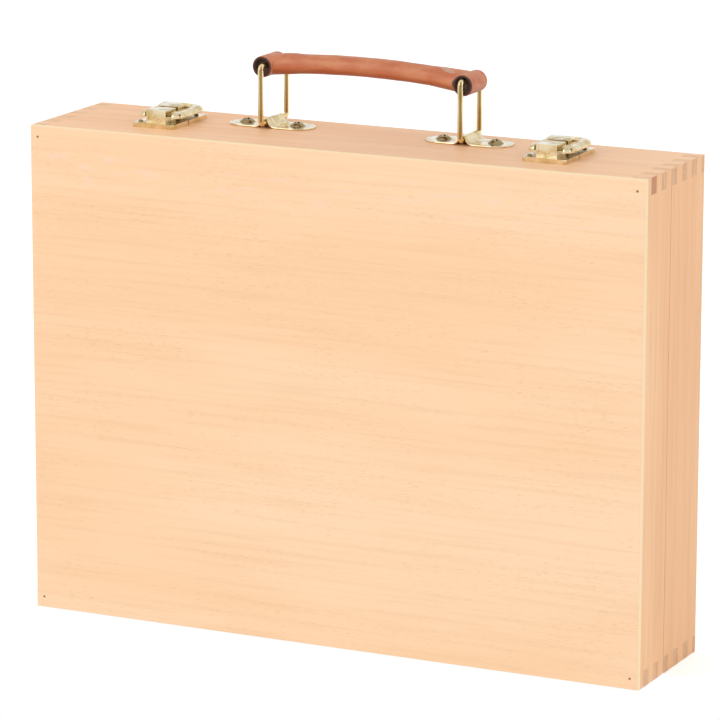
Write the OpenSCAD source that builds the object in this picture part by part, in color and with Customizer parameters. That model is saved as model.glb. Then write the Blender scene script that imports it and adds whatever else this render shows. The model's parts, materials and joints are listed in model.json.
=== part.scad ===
// Brush box with a hinged lid, made of finger-jointed boards and sawn through into a lid and a base.
// It stands on its long edge, as it is carried by its handle: X runs across the front, Y from the
// lid to the back and Z up. The origin is the middle of the footprint.

/* [Box] */
// Width of the box
box_w = 380; // [340:1:460]
// Height of the box as it stands on its long edge
box_h = 286; // [220:1:360]
// Depth of the lid, from the panel's face to the sawn face
lid_d = 36.5; // [30:0.5:50]
// Depth of the base, from the sawn face to the back
base_d = 48.1; // [44:0.1:80]
// Gap that the saw left between lid and base
saw_gap = 0.4; // [0.3:0.1:0.8]
// Thickness of the frame boards
board_t = 9.5; // [8.5:0.5:14]
// Width of one finger of the corner joints
finger_w = 7.3; // [5:0.1:12]
// Narrowest finger that is left at the end of a corner joint
finger_min_w = 1; // [0.5:0.5:3]

/* [Panels] */
// Thickness of the plywood panel on the lid
panel_t = 3.2; // [2.5:0.1:5]
// Radius of the panel's rounded front edge
panel_edge_r = 1.2; // [0.4:0.1:2]
// Thickness of the plywood back
back_t = 3.2; // [2.5:0.1:6]
// Depth that the back is let into the boards
rebate_w = 5; // [2:0.5:6]
// Radius of the brads that hold the panel
brad_r = 0.7; // [0.4:0.1:1.2]
// Length of a brad
brad_l = 14; // [8:1:20]
// Distance of the brads from the sides
brad_inset_x = 5; // [3:0.5:8]
// Distance of the brads from the top and the bottom
brad_inset_z = 6.5; // [3:0.5:8]

/* [Dividers] */
// Thickness of the slats inside
slat_t = 4; // [3:0.5:6]
// Height of the slats above the back
slat_h = 34; // [20:1:38]
// Width of the brush bay along the top
top_bay_w = 55; // [30:1:70]
// Width of the brush bay along the bottom
bottom_bay_w = 70; // [30:1:80]
// Distance of the short slats from the middle
cross_slat_x = 62; // [30:1:120]

/* [Hinges] */
// Distance of each hinge from the middle
hinge_x = 110; // [60:1:130]
// Length of a hinge
hinge_l = 40; // [30:1:60]
// Number of knuckles of a hinge
knuckles = 5; // [3:2:7]
// Radius of the hinge barrel
barrel_r = 1.5; // [1.3:0.1:1.8]
// Radius of the hinge pin
hinge_pin_r = 0.75; // [0.5:0.05:0.9]
// Thickness of a hinge leaf
leaf_t = 0.8; // [0.5:0.1:1.2]
// Height of a leaf above the hinge axis
leaf_h = 6.5; // [6:0.1:6.8]
// Angle that the lid opens to
lid_open_angle = 100; // [80:1:110]
// Angle that the groove along the seam leaves free beyond that
stop_margin = 1.4; // [0.6:0.2:3]
// Gap between the barrel and the ground
barrel_lift = 0.1; // [0.05:0.05:0.3]
// Shank radius of the hinge screws
hinge_screw_r = 1; // [0.7:0.1:1.1]
// Length of the hinge screws
hinge_screw_l = 12; // [8:1:16]
// Spacing of the hinge screws
hinge_screw_pitch = 14; // [10:0.5:14]

/* [Latches] */
// Distance of the left latch from the middle
left_latch_x = 122; // [112:0.5:140]
// Distance of the right latch from the middle
right_latch_x = 120.5; // [112:0.5:140]
// Distance from the seam back to the gap between the plates
latch_shift = 3.7; // [0.5:0.1:5]
// Width of the latch plates
latch_w = 26.4; // [24:0.2:32]
// Length of the latch plate on the lid
latch_plate_l = 18.6; // [18:0.1:24]
// Length of the catch plate on the base
catch_plate_l = 23.6; // [21:0.1:26]
// Gap between the two plates
plate_gap = 0.6; // [0.4:0.1:1.2]
// Height of the plates above the wood
plate_h = 2.6; // [2:0.1:2.8]
// Thickness of the plates' sheet
plate_sheet = 0.8; // [0.5:0.1:1.2]
// Corner radius of the plates
plate_corner_r = 2; // [1.5:0.5:5]
// Width of the housing on the latch plate
housing_w = 12.5; // [10:0.5:13]
// Length of the housing
housing_l = 12.6; // [11.5:0.1:13]
// Height of the housing above the wood
housing_h = 9.6; // [9.2:0.1:10]
// Distance of the housing from the front of its plate
housing_setback = 4.2; // [3.6:0.1:4.8]
// Depth of the pressed recess in the housing's front
housing_recess = 0.4; // [0.2:0.1:0.6]
// Width of the frame that is left round that recess
housing_frame_w = 1.4; // [0.8:0.1:2]
// Width of the tab at the foot of the recess
housing_tab_w = 2.6; // [1.5:0.1:4]
// Height of that tab
housing_tab_h = 2.4; // [1.5:0.1:3.5]
// Distance of the lever's pin from the front of its plate
latch_pin_back = 9.7; // [9.4:0.1:10]
// Height of the lever's pin above the wood
latch_pin_z = 6.5; // [6.4:0.1:6.8]
// Radius of the lever's pin
latch_pin_r = 1; // [0.7:0.05:1.1]
// Length of the lever's pin
latch_pin_l = 24; // [22:0.5:24.5]
// Width of the lever
lever_w = 26.8; // [25.6:0.2:30]
// Width of the lever's arms
lever_arm_w = 4.7; // [4.2:0.1:5]
// Distance from the front of the plate to the rear of the lever
lever_reach = 42.4; // [40:0.2:43]
// Height of the lever's top above the wood
lever_top_z = 8.3; // [8.1:0.1:8.6]
// Radius of the lever's rounded edge
lever_edge_r = 3; // [2:0.1:3.2]
// Height of the lever's edge below that rounding
lever_skirt = 0.4; // [0.2:0.1:0.5]
// Thickness of the lever's sheet
lever_sheet = 0.8; // [0.6:0.1:1]
// Reach of the lever's arms in front of their pin
lever_nose = 3.2; // [2.6:0.1:3.3]
// Outer corner radius of the lever's rear
lever_corner_r = 8; // [6:0.5:10]
// Length of the ears on the inside of the lever's arms
ear_l = 5.3; // [3:0.1:7]
// Gap between those ears and the housing
ear_gap = 0.5; // [0.3:0.1:1]
// Length of the openings beside the lever's tongue
lever_window_l = 11.3; // [10.4:0.1:14]
// Width of the lever's tongue
tongue_w = 13.4; // [11:0.2:14.4]
// Length of the tongue
tongue_l = 18.8; // [16:0.1:20]
// Gap between the housing and the tongue
tongue_gap = 1.6; // [1.2:0.1:2]
// Height of the tongue's front edge above the wood
tongue_front_z = 9.9; // [9.6:0.1:10.2]
// Height of the tongue's crown above the wood
tongue_crown_z = 10.7; // [10.5:0.1:11.2]
// Width of the lever's lip
lip_w = 6; // [4:0.5:10]
// Thickness of the lip
lip_l = 1.6; // [1:0.1:2]
// Width of the catch on the base
catch_w = 8; // [5:0.5:12]
// Thickness of the catch
catch_l = 2; // [1.2:0.1:2.2]
// Distance of the catch from the gap between the plates
catch_y = 7; // [5:0.2:7.4]
// Gap between the lever's lip and the catch
catch_gap = 0.2; // [0.15:0.05:0.4]
// Head radius of the latch screws
latch_head_r = 1.6; // [1.3:0.1:1.8]
// Head height of the latch screws
latch_head_h = 0.9; // [0.6:0.1:1]
// Shank radius of the latch screws
latch_screw_r = 0.9; // [0.7:0.1:1.1]
// Length of the latch screws' shanks in the wood
latch_screw_l = 8; // [6:0.5:9]
// Distance of the lid's latch screws from the front of their plate
lid_screw_back = 4.9; // [3:0.1:5]
// Distance of the lid's latch screws from the sides of their plate
lid_screw_in = 2.9; // [2.6:0.1:3.2]
// Distance of the base's latch screws from the rear of their plate
base_screw_back = 6.5; // [5:0.1:8]
// Distance of the base's latch screws from the sides of their plate
base_screw_in = 4.2; // [3.6:0.1:4.6]

/* [Handle] */
// Distance of the handle's middle from the box's middle
handle_shift = -3.2; // [-6:0.1:6]
// Distance between the two loops
loop_spacing = 123.6; // [115:0.1:140]
// Distance of the handle's line from the back of the box
handle_back = 24.6; // [20:0.1:26]
// Diameter of the loop wire
wire_d = 3.2; // [2.4:0.1:3.4]
// Width of the left loop between its wire's centre lines
left_loop_w = 32.5; // [30:0.5:33]
// Distance of the left loop's middle behind the handle's line
left_loop_back = 1.3; // [0:0.1:1.5]
// Width of the right loop between its wire's centre lines
right_loop_w = 26; // [25.5:0.5:30]
// Height of the loops between the two bars' centre lines
loop_h = 33; // [30:0.5:40]
// Height of the loop's lower bar above the wood
loop_axis_z = 3; // [2.8:0.1:4]
// Bend radius of the loop wire at its centre line
loop_bend_r = 2.3; // [2:0.1:2.5]
// Running clearance round the loop wire
wire_clearance = 0.08; // [0.05:0.01:0.1]
// Length of a handle plate
handle_plate_l = 53; // [46:0.5:56]
// Width of a handle plate
handle_plate_w = 21; // [18:0.5:21]
// Thickness of a handle plate
handle_sheet = 0.9; // [0.7:0.1:1.4]
// Fillet where the plate rises over the wire
hump_fillet_r = 4.2; // [2:0.2:4.6]
// Distance of the handle screws from the middle of their plate
handle_screw_x = 16; // [15:0.5:18]
// Head radius of the handle screws
handle_head_r = 4.6; // [3.6:0.1:5]
// Head height of the handle screws
handle_head_h = 2.4; // [1.8:0.1:3]
// Shank radius of the handle screws
handle_screw_r = 1.6; // [1.2:0.1:2]
// Length of the handle screws' shanks
handle_screw_l = 9; // [6:0.5:9.5]

/* [Grip] */
// Half height of the grip's body
grip_r = 5.75; // [5:0.05:7]
// Half width of the grip's body
grip_half_w = 6.4; // [5.6:0.1:8]
// Radius of the grip's rolled ends
grip_end_r = 6.2; // [6:0.1:7]
// Length of the rolled ends, across the grip
grip_end_l = 21; // [18:0.5:21]
// Thickness of the leather
leather_t = 1.1; // [0.8:0.1:1.3]
// Rise of the grip's middle above its ends
grip_rise = 3.4; // [1:0.1:6]
// Length over which the body widens to its ends
grip_flare_l = 15; // [10:0.5:20]
// Drop of the left rolled end below the loop wire
left_end_drop = 0.8; // [0:0.1:1.5]
// Drop of the right rolled end below the loop wire
right_end_drop = 2.2; // [0:0.1:2.4]
// Distance of the left rolled end beyond the loop wire
left_end_out = 1.6; // [0:0.1:2]
// Length of the bush inside a rolled end
bush_l = 12; // [8:0.5:16]

/* [Fits] */
// Radial clearance of a turning pin
pin_clearance = 0.06; // [0.03:0.01:0.1]
// Gap between a seated piece and its neighbour
seat_gap = 0.1; // [0.05:0.05:0.2]
// Gap round the turning barrels and knuckles
swing_gap = 0.3; // [0.2:0.05:0.4]

/* [Hidden] */
$fn = 64;

SIDES = [-1, 1];
box_d = lid_d + saw_gap + base_d;
front_y = -box_d / 2;
back_y = box_d / 2;
frame_front_y = front_y + panel_t;
lid_face_y = front_y + lid_d;
base_face_y = lid_face_y + saw_gap;
seam_y = (lid_face_y + base_face_y) / 2;
over = 1; // how far a cutter runs past the face it cuts
slat_back_y = back_y - back_t;
upper_slat_z = box_h - board_t - top_bay_w - slat_t;
lower_slat_z = board_t + bottom_bay_w;

hinge_z = barrel_r + barrel_lift;
groove_slope = tan((lid_open_angle + stop_margin) / 2);
hinge_screw_z = (barrel_r + swing_gap + leaf_h) / 2;
screw_tip_r = 0.2;
knuckle_l = hinge_l / knuckles;

// Along a latch, Y is counted from the gap between its plates
plate_front = -plate_gap / 2 - latch_plate_l;
catch_rear = plate_gap / 2 + catch_plate_l;
housing_front = plate_front + housing_setback;
housing_rear = housing_front + housing_l;
latch_pin_y = plate_front + latch_pin_back;
lever_rear = plate_front + lever_reach;
lever_low_z = lever_top_z - lever_edge_r - lever_skirt;
arm_in_x = lever_w / 2 - lever_arm_w;
arm_front = latch_pin_y - lever_nose + lever_arm_w;
arm_rear = lever_rear - lever_corner_r;
ear_in_x = housing_w / 2 + ear_gap;
tongue_front = housing_rear + tongue_gap;
tongue_rear = tongue_front + tongue_l;
lid_screw_y = plate_front + lid_screw_back;
base_screw_y = catch_rear - base_screw_back;
lid_screw_x = latch_w / 2 - lid_screw_in;
base_screw_x = latch_w / 2 - base_screw_in;

// Cross recess of a screw, as shares of its head's radius and height
cross_reach = 0.55;
cross_half_w = 0.11;
cross_floor = 0.45;

handle_y = back_y - handle_back;
hump_steps = 10; // facets of each bend of a handle plate's sheet
left_loop_x = handle_shift - loop_spacing / 2;
right_loop_x = handle_shift + loop_spacing / 2;
loop_low_z = box_h + loop_axis_z;
loop_top_z = loop_low_z + loop_h;
left_end_x = left_loop_x - left_end_out;
right_end_x = right_loop_x;
left_end_z = loop_top_z - left_end_drop;
right_end_z = loop_top_z - right_end_drop;
roll_bore_r = grip_end_r - leather_t;

// The grip follows an arc through its two rolled ends and its raised middle
grip_steps = 6;
grip_disc_t = 0.2;
grip_mid = [(left_end_x + right_end_x) / 2, (left_end_z + right_end_z) / 2 + grip_rise];
grip_centre = circle_centre([left_end_x, left_end_z], grip_mid, [right_end_x, right_end_z]);
grip_arc_r = norm(grip_mid - grip_centre);
left_end_angle = atan2(left_end_z - grip_centre[1], left_end_x - grip_centre[0]);
right_end_angle = atan2(right_end_z - grip_centre[1], right_end_x - grip_centre[0]);
// Share of the arc that each flared end takes up
flare = grip_flare_l / (grip_arc_r * (left_end_angle - right_end_angle) * PI / 180);

// The n-th finger edge, counted back from the base's sawn face
function finger_y(n) = base_face_y + n * finger_w;

// Centre [y, z] of the circle through three points [y, z]
function circle_centre(a, b, c) =
    let (d = 2 * (a[0] * (b[1] - c[1]) + b[0] * (c[1] - a[1]) + c[0] * (a[1] - b[1])),
         sa = a * a, sb = b * b, sc = c * c)
    [(sa * (b[1] - c[1]) + sb * (c[1] - a[1]) + sc * (a[1] - b[1])) / d,
     (sa * (c[0] - b[0]) + sb * (a[0] - c[0]) + sc * (b[0] - a[0])) / d];

// Cuts the slots of a corner joint, from y0 to y1, in the bands of one parity
module finger_slots(odd, y0, y1, x0, size_x, z0, size_z) {
    first = ceil((y0 + finger_min_w - base_face_y) / finger_w);
    last = floor((y1 - finger_min_w - base_face_y) / finger_w);
    for (n = [first - 1 : last])
        if (abs(n % 2) == odd) {
            from = n < first ? y0 - over : finger_y(n);
            to = n == last ? y1 + over : finger_y(n + 1);
            translate([x0, from, z0]) cube([size_x, to - from, size_z]);
        }
}

module back_pocket()
    translate([-box_w / 2 + board_t - rebate_w, back_y - back_t, board_t - rebate_w])
        cube([box_w - 2 * (board_t - rebate_w), back_t + over, box_h - 2 * (board_t - rebate_w)]);

// The groove along the bottom of the seam, which lets the barrels in and stops the lid
module hinge_groove() {
    run = (hinge_z + over) * groove_slope;
    translate([-box_w / 2 - over, 0, 0]) rotate([90, 0, 90]) linear_extrude(box_w + 2 * over)
        polygon([[lid_face_y - run, -over], [lid_face_y, hinge_z],
                 [base_face_y, hinge_z], [base_face_y + run, -over]]);
}

module at_hinge(side) translate([side * hinge_x, seam_y, hinge_z]) children();

// Recess in the wood for one leaf and the barrel
module hinge_recess(face) {
    rotate([0, 90, 0]) cylinder(r = barrel_r + swing_gap, h = hinge_l + 2 * swing_gap, center = true);
    y0 = saw_gap / 2 - over;
    translate([-hinge_l / 2, face > 0 ? y0 : -y0 - over - leaf_t, 0]) cube([hinge_l, leaf_t + over, leaf_h]);
}

module at_hinge_screws()
    for (i = [-1 : 1]) translate([i * hinge_screw_pitch, 0, hinge_screw_z]) children();

// Countersunk screw along +Z from its head's face at z = 0
module hinge_screw() {
    head_r = hinge_screw_r + leaf_t;
    cylinder(r1 = head_r, r2 = hinge_screw_r, h = leaf_t);
    cylinder(r = hinge_screw_r, h = hinge_screw_l - hinge_screw_r);
    translate([0, 0, hinge_screw_l - hinge_screw_r])
        cylinder(r1 = hinge_screw_r, r2 = screw_tip_r, h = hinge_screw_r);
}

module hinge_screws(face)
    for (side = SIDES) at_hinge(side) at_hinge_screws()
        translate([0, face * saw_gap / 2, 0]) rotate([-90 * face, 0, 0]) hinge_screw();

module brads()
    for (x = SIDES, z = [brad_inset_z, box_h - brad_inset_z])
        translate([x * (box_w / 2 - brad_inset_x), front_y, z]) rotate([-90, 0, 0])
            cylinder(r = brad_r, h = brad_l);

// Shank holes of the latch screws in the top boards
module latch_screw_shanks(y, x)
    for (side = SIDES, s = SIDES)
        at_latch(side) translate([s * x, y, -latch_screw_l]) cylinder(r = latch_screw_r, h = latch_screw_l);

module at_handle_screws()
    for (x = [left_loop_x, right_loop_x], s = SIDES)
        translate([x + s * handle_screw_x, handle_y, box_h]) children();

// A board along the top or the bottom, with its end grain showing at the sides
module level_board(z0, y0, y1)
    difference() {
        translate([-box_w / 2, y0, z0]) cube([box_w, y1 - y0, board_t]);
        for (x = [-box_w / 2 - over, box_w / 2 - board_t])
            finger_slots(1, y0, y1, x, board_t + over, z0 - over, board_t + 2 * over);
    }

// A board up one side, with its end grain showing at the top and bottom
module side_board(side, y0, y1)
    difference() {
        x0 = side * (box_w - board_t) / 2 - board_t / 2;
        translate([x0, y0, 0]) cube([board_t, y1 - y0, box_h]);
        for (z = [-over, box_h - board_t])
            finger_slots(0, y0, y1, x0 - over, board_t + 2 * over, z, board_t + over);
    }

module front_panel()
    color("burlywood") difference() {
        intersection() {
            rotate([90, 0, 90]) translate([0, 0, -box_w / 2]) linear_extrude(box_w) panel_profile(0, box_h);
            mirror([1, -1, 0]) linear_extrude(box_h) panel_profile(-box_w / 2, box_w / 2);
        }
        brads();
    }

// Section [y, across] of the panel, rounded at its two front corners
module panel_profile(from, to)
    union() {
        translate([front_y + panel_edge_r, from]) square([panel_t - panel_edge_r, to - from]);
        translate([front_y, from + panel_edge_r]) square([panel_t, to - from - 2 * panel_edge_r]);
        for (v = [from + panel_edge_r, to - panel_edge_r])
            translate([front_y + panel_edge_r, v]) circle(r = panel_edge_r);
    }

module panel_brads() color("dimgray") brads();

module lid_top_board()
    color("tan") difference() {
        level_board(box_h - board_t, frame_front_y, lid_face_y);
        brads();
        latch_screw_shanks(lid_screw_y, lid_screw_x);
    }

module lid_bottom_board()
    color("tan") difference() {
        level_board(0, frame_front_y, lid_face_y);
        hinge_groove();
        for (side = SIDES) at_hinge(side) hinge_recess(-1);
        hinge_screws(-1);
        brads();
    }

module lid_side_board(side)
    color("peru") difference() {
        side_board(side, frame_front_y, lid_face_y);
        hinge_groove();
        brads();
    }

module lid_left_board() lid_side_board(-1);
module lid_right_board() lid_side_board(1);

module base_top_board()
    color("tan") difference() {
        level_board(box_h - board_t, base_face_y, back_y);
        back_pocket();
        latch_screw_shanks(base_screw_y, base_screw_x);
        at_handle_screws() translate([0, 0, -handle_screw_l])
            cylinder(r = handle_screw_r, h = handle_screw_l);
    }

module base_bottom_board()
    color("tan") difference() {
        level_board(0, base_face_y, back_y);
        back_pocket();
        hinge_groove();
        for (side = SIDES) at_hinge(side) hinge_recess(1);
        hinge_screws(1);
    }

module base_side_board(side)
    color("peru") difference() {
        side_board(side, base_face_y, back_y);
        back_pocket();
        hinge_groove();
    }

module base_left_board() base_side_board(-1);
module base_right_board() base_side_board(1);

module back_panel() color("burlywood") intersection() {
    back_pocket();
    translate([-box_w, back_y - back_t - over, 0]) cube([2 * box_w, back_t + over, box_h]);
}

module long_slat(z)
    color("wheat") translate([-box_w / 2 + board_t, slat_back_y - slat_h, z])
        cube([box_w - 2 * board_t, slat_h, slat_t]);

module upper_slat() long_slat(upper_slat_z);
module lower_slat() long_slat(lower_slat_z);

module cross_slat(side)
    color("wheat") translate([side * cross_slat_x - slat_t / 2, slat_back_y - slat_h, lower_slat_z + slat_t])
        cube([slat_t, slat_h, upper_slat_z - lower_slat_z - slat_t]);

module left_cross_slat() cross_slat(-1);
module right_cross_slat() cross_slat(1);

// One leaf with its knuckles: face is 1 on the base and -1 on the lid, first is its first knuckle
module hinge_leaf(face, first, bore_r)
    color("gold") difference() {
        union() {
            difference() {
                translate([-hinge_l / 2, face > 0 ? saw_gap / 2 : -saw_gap / 2 - leaf_t, 0])
                    cube([hinge_l, leaf_t, leaf_h]);
                for (k = [1 - first : 2 : knuckles - 1]) knuckle(k, barrel_r + swing_gap, -seat_gap);
            }
            for (k = [first : 2 : knuckles - 1]) knuckle(k, barrel_r, seat_gap / 2);
        }
        rotate([0, 90, 0]) cylinder(r = bore_r, h = hinge_l + 2 * over, center = true);
        at_hinge_screws() translate([0, face * saw_gap / 2, 0]) rotate([-90 * face, 0, 0]) hinge_screw();
    }

module knuckle(k, r, inset)
    translate([-hinge_l / 2 + k * knuckle_l + inset, 0, 0]) rotate([0, 90, 0])
        cylinder(r = r, h = knuckle_l - 2 * inset);

module left_hinge_lid_leaf() at_hinge(-1) hinge_leaf(-1, 1, hinge_pin_r + pin_clearance);
module right_hinge_lid_leaf() at_hinge(1) hinge_leaf(-1, 1, hinge_pin_r + pin_clearance);
module left_hinge_base_leaf() at_hinge(-1) hinge_leaf(1, 0, hinge_pin_r);
module right_hinge_base_leaf() at_hinge(1) hinge_leaf(1, 0, hinge_pin_r);

module hinge_pin()
    color("goldenrod") rotate([0, 90, 0]) cylinder(r = hinge_pin_r, h = hinge_l, center = true);

module left_hinge_pin() at_hinge(-1) hinge_pin();
module right_hinge_pin() at_hinge(1) hinge_pin();

module lid_hinge_screws() color("goldenrod") hinge_screws(-1);
module base_hinge_screws() color("goldenrod") hinge_screws(1);

module at_latch(side)
    translate([side < 0 ? -left_latch_x : right_latch_x, seam_y + latch_shift, box_h]) children();

// Outline of a plate with two rounded corners at its outer end
module plate_outline(from, to, width, r) {
    outer = abs(from) > abs(to) ? from : to;
    inward = outer < 0 ? 1 : -1;
    translate([-width / 2, min(from, to) + (inward > 0 ? r : 0)]) square([width, abs(to - from) - r]);
    translate([-width / 2 + r, min(from, to)]) square([width - 2 * r, abs(to - from)]);
    for (s = SIDES) translate([s * (width / 2 - r), outer + inward * r]) circle(r = r);
}

// A pressed plate: a flat top with its rim turned down to the wood
module pan(from, to)
    difference() {
        linear_extrude(plate_h) plate_outline(from, to, latch_w, plate_corner_r);
        dir = abs(from) > abs(to) ? 1 : -1;
        translate([0, 0, -over]) linear_extrude(plate_h - plate_sheet + over)
            plate_outline(from + dir * plate_sheet, to - dir * plate_sheet, latch_w - 2 * plate_sheet,
                          plate_corner_r - plate_sheet);
    }

// A round-headed screw with a cross recess, head up at z = 0
module round_screw(head_r, head_h, shank_r, shank_l) {
    dome_r = (head_r * head_r + head_h * head_h) / (2 * head_h);
    difference() {
        intersection() {
            translate([0, 0, head_h - dome_r]) sphere(r = dome_r);
            cylinder(r = head_r, h = head_h);
        }
        for (a = [0, 90]) rotate([0, 0, a + 45])
            translate([-cross_reach * head_r, -cross_half_w * head_r, cross_floor * head_h])
                cube([2 * cross_reach * head_r, 2 * cross_half_w * head_r, head_h]);
    }
    translate([0, 0, -shank_l]) cylinder(r = shank_r, h = shank_l);
}

module latch_screw() round_screw(latch_head_r, latch_head_h, latch_screw_r, plate_h + latch_screw_l);

module latch_screw_holes(y, x)
    for (s = SIDES) translate([s * x, y, -over]) cylinder(r = latch_screw_r, h = plate_h + 2 * over);

// The lid's latch plate with the pressed housing that carries the lever's pin
module latch_plate()
    color("khaki") difference() {
        union() {
            pan(plate_front, -plate_gap / 2);
            translate([-housing_w / 2, housing_front, plate_h - plate_sheet])
                cube([housing_w, housing_l, housing_h - plate_h + plate_sheet]);
        }
        translate([-housing_w / 2 + plate_sheet, housing_front + plate_sheet + housing_recess, plate_h])
            cube([housing_w - 2 * plate_sheet, housing_l, housing_h - plate_sheet - plate_h]);
        difference() {
            translate([-housing_w / 2 + housing_frame_w, housing_front - over, plate_h + housing_frame_w])
                cube([housing_w - 2 * housing_frame_w, over + housing_recess,
                      housing_h - plate_h - 2 * housing_frame_w]);
            translate([-housing_tab_w / 2, housing_front - over, plate_h])
                cube([housing_tab_w, over + housing_recess, housing_tab_h]);
        }
        translate([-latch_w / 2 - over, -latch_shift, -over])
            cube([latch_w + 2 * over, latch_shift, over + seat_gap]);
        latch_pin_bore(latch_pin_r);
        latch_screw_holes(lid_screw_y, lid_screw_x);
    }

module latch_pin_bore(r)
    translate([0, latch_pin_y, latch_pin_z]) rotate([0, 90, 0])
        cylinder(r = r, h = lever_w + 2 * over, center = true);

module left_latch_plate() at_latch(-1) latch_plate();
module right_latch_plate() at_latch(1) latch_plate();

module latch_pin()
    color("goldenrod") translate([0, latch_pin_y, latch_pin_z]) rotate([0, 90, 0])
        cylinder(r = latch_pin_r, h = latch_pin_l, center = true);
module left_latch_pin() at_latch(-1) latch_pin();
module right_latch_pin() at_latch(1) latch_pin();

// The catch plate on the base, with the catch pressed up from it
module catch_plate()
    color("khaki") difference() {
        union() {
            pan(plate_gap / 2, catch_rear);
            translate([-catch_w / 2, catch_y - catch_l / 2, plate_h - plate_sheet])
                cube([catch_w, catch_l, lever_low_z - catch_gap - plate_h + plate_sheet]);
        }
        latch_screw_holes(base_screw_y, base_screw_x);
    }

module left_catch_plate() at_latch(-1) catch_plate();
module right_catch_plate() at_latch(1) catch_plate();

// Section [outward, up] of the lever's rounded edge, or of its hollow when it is drawn in by a sheet
module lever_section(sheet) {
    low_z = lever_low_z - (sheet > 0 ? over : 0);
    edge_z = lever_top_z - lever_edge_r;
    flat_w = lever_arm_w - lever_edge_r;
    translate([0, low_z]) square([flat_w, lever_top_z - sheet - low_z]);
    translate([0, low_z]) square([lever_arm_w - sheet, edge_z - low_z]);
    translate([flat_w, edge_z]) intersection() {
        circle(r = lever_edge_r - sheet);
        translate([0, -lever_skirt / 2]) square(lever_edge_r + lever_skirt);
    }
}

// The lever's edge: down both arms, round the corners and across the rear
module lever_frame(sheet)
    for (m = [0, 1]) mirror([m, 0, 0]) {
        translate([arm_in_x, arm_front, 0]) rotate([0, 0, -90]) rotate_extrude(angle = 90)
            lever_section(sheet);
        translate([arm_in_x, arm_rear, 0]) rotate([90, 0, 0]) linear_extrude(arm_rear - arm_front)
            lever_section(sheet);
        translate([lever_w / 2 - lever_corner_r, arm_rear, 0]) rotate_extrude(angle = 90)
            translate([lever_corner_r - lever_arm_w, 0]) lever_section(sheet);
        translate([0, lever_rear - lever_arm_w, 0]) rotate([90, 0, 90])
            linear_extrude(lever_w / 2 - lever_corner_r) lever_section(sheet);
    }

// Side of the arched tongue, seen along X, or of its hollow when it is drawn in by a sheet
module tongue_side(sheet) {
    crown = [(tongue_front + tongue_rear) / 2, tongue_crown_z];
    centre = circle_centre([tongue_front, tongue_front_z], crown, [tongue_rear, lever_top_z]);
    intersection() {
        translate(centre) circle(r = norm([tongue_rear, lever_top_z] - centre) - sheet, $fn = 200);
        translate([tongue_front - (sheet > 0 ? over : 0), lever_top_z - lever_sheet - (sheet > 0 ? over : 0)])
            square([tongue_l + lever_corner_r, tongue_crown_z]);
    }
}

module tongue_solid(sheet)
    rotate([90, 0, 90]) translate([0, 0, sheet - tongue_w / 2]) linear_extrude(tongue_w - 2 * sheet)
        tongue_side(sheet);

module latch_lever() {
    sheet_z = lever_top_z - lever_sheet;
    window_rear = tongue_front + lever_window_l;
    color("khaki") difference() {
        union() {
            difference() {
                lever_frame(0);
                lever_frame(lever_sheet);
            }
            intersection() {
                lever_frame(0);
                latch_pin_bore(latch_pin_z - lever_low_z);
            }
            translate([-arm_in_x, window_rear, sheet_z])
                cube([2 * arm_in_x, lever_rear - lever_arm_w - window_rear, lever_sheet]);
            for (m = [0, 1]) mirror([m, 0, 0]) translate([ear_in_x, latch_pin_y, sheet_z])
                cube([arm_in_x - ear_in_x, ear_l, lever_sheet]);
            difference() {
                tongue_solid(0);
                tongue_solid(lever_sheet);
            }
            translate([-lip_w / 2, catch_y + catch_l / 2 + catch_gap, lever_low_z])
                cube([lip_w, lip_l, tongue_crown_z - lever_sheet / 2 - lever_low_z]);
        }
        latch_pin_bore(latch_pin_r + pin_clearance);
    }
}

module left_latch_lever() at_latch(-1) latch_lever();
module right_latch_lever() at_latch(1) latch_lever();

module lid_latch_screws()
    color("goldenrod") for (side = SIDES, s = SIDES)
        at_latch(side) translate([s * lid_screw_x, lid_screw_y, plate_h]) latch_screw();

module base_latch_screws()
    color("goldenrod") for (side = SIDES, s = SIDES)
        at_latch(side) translate([s * base_screw_x, base_screw_y, plate_h]) latch_screw();

// One face of a handle plate's sheet, seen along Y, where it rises over the wire at radius hump_r
function sheet_face(depth, hump_r) =
    let (top_r = wire_d / 2 + wire_clearance + handle_sheet,
         fillet_z = handle_sheet + hump_fillet_r,
         fillet_x = sqrt(pow(hump_fillet_r + top_r, 2) - pow(fillet_z - loop_axis_z, 2)),
         lean = atan2(loop_axis_z - fillet_z, fillet_x),
         rise = [for (i = [0 : hump_steps]) -90 + (lean + 90) * i / hump_steps],
         bow = [for (i = [1 : 2 * hump_steps - 1]) 180 + lean - (180 + 2 * lean) * i / (2 * hump_steps)])
    concat([[-handle_plate_l, handle_sheet - depth]],
           [for (a = rise) [-fillet_x, fillet_z] + (hump_fillet_r + depth) * [cos(a), sin(a)]],
           [for (a = bow) [0, loop_axis_z] + hump_r * [cos(a), sin(a)]],
           [for (i = [hump_steps : -1 : 0])
               [fillet_x, fillet_z] + (hump_fillet_r + depth) * [-cos(rise[i]), sin(rise[i])]],
           [[handle_plate_l, handle_sheet - depth]]);

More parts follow.
